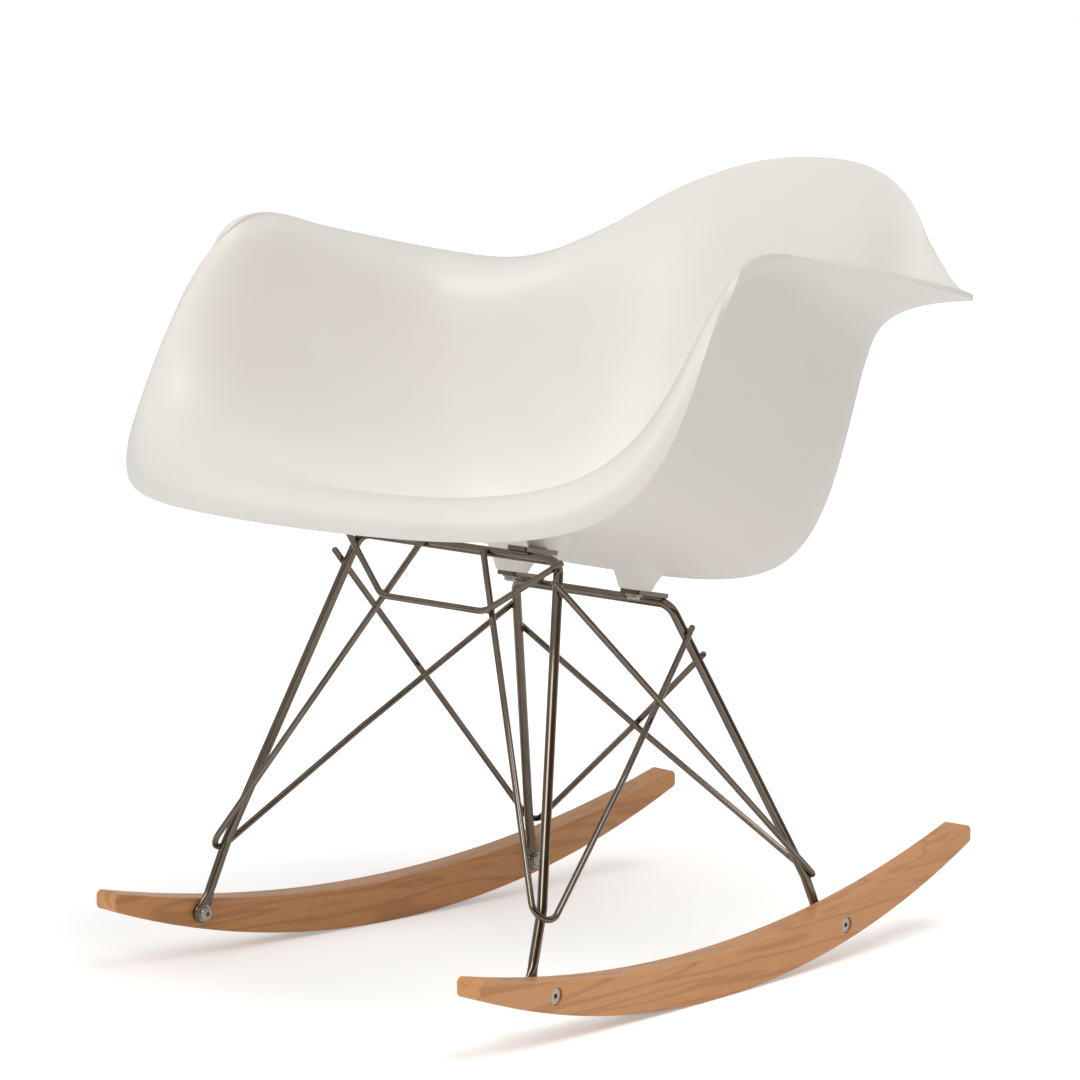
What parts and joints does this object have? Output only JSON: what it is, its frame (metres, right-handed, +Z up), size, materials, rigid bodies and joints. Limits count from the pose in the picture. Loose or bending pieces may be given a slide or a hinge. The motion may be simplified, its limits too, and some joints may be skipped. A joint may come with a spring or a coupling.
{
  "type": "rocking chair",
  "caption": "Rocking armchair with a one-piece moulded seat shell on a welded bent-rod base, bolted to two solid wood rockers.",
  "frame": {"origin": "on the floor under the middle of the chair's overall box; the rockers touch the floor along y = -21.5 mm, below the empty chair's centre of mass", "axes": "+Z up, the sitter faces -Y, +X is the sitter's left, and the YZ plane is the plane of symmetry"},
  "size_m": [0.6338, 0.7042, 0.6875],
  "materials": {
    "shell_plastic": "moulded, fine satin texture, warm white",
    "rod_chrome": "dark nickel-chrome plated steel rod, polished",
    "rocker_maple": "solid maple, clear satin lacquer",
    "fastener_steel": "zinc-plated steel",
    "insert_brass": "turned brass threaded insert"
  },
  "bodies": {
    "root": {"front_crossbar": "rod_chrome", "front_leg_frame": "rod_chrome", "front_strut_left": "rod_chrome", "front_strut_right": "rod_chrome", "mount_plate_front_left": "rod_chrome", "mount_plate_front_right": "rod_chrome", "mount_plate_rear_left": "rod_chrome", "mount_plate_rear_right": "rod_chrome", "rear_leg_frame": "rod_chrome", "rear_strut_left": "rod_chrome", "rear_strut_right": "rod_chrome", "rocker_bolt_front_left": "fastener_steel", "rocker_bolt_front_right": "fastener_steel", "rocker_bolt_rear_left": "fastener_steel", "rocker_bolt_rear_right": "fastener_steel", "rocker_left": "rocker_maple", "rocker_nut_front_left": "fastener_steel", "rocker_nut_front_right": "fastener_steel", "rocker_nut_rear_left": "fastener_steel", "rocker_nut_rear_right": "fastener_steel", "rocker_right": "rocker_maple", "rocker_washer_front_left": "fastener_steel", "rocker_washer_front_right": "fastener_steel", "rocker_washer_rear_left": "fastener_steel", "rocker_washer_rear_right": "fastener_steel", "seat_shell": "shell_plastic", "shell_insert_front_left": "insert_brass", "shell_insert_front_right": "insert_brass", "shell_insert_rear_left": "insert_brass", "shell_insert_rear_right": "insert_brass", "shell_screw_front_left": "fastener_steel", "shell_screw_front_right": "fastener_steel", "shell_screw_rear_left": "fastener_steel", "shell_screw_rear_right": "fastener_steel", "shell_washer_front_left": "fastener_steel", "shell_washer_front_right": "fastener_steel", "shell_washer_rear_left": "fastener_steel", "shell_washer_rear_right": "fastener_steel"}
  },
  "joints": []
}
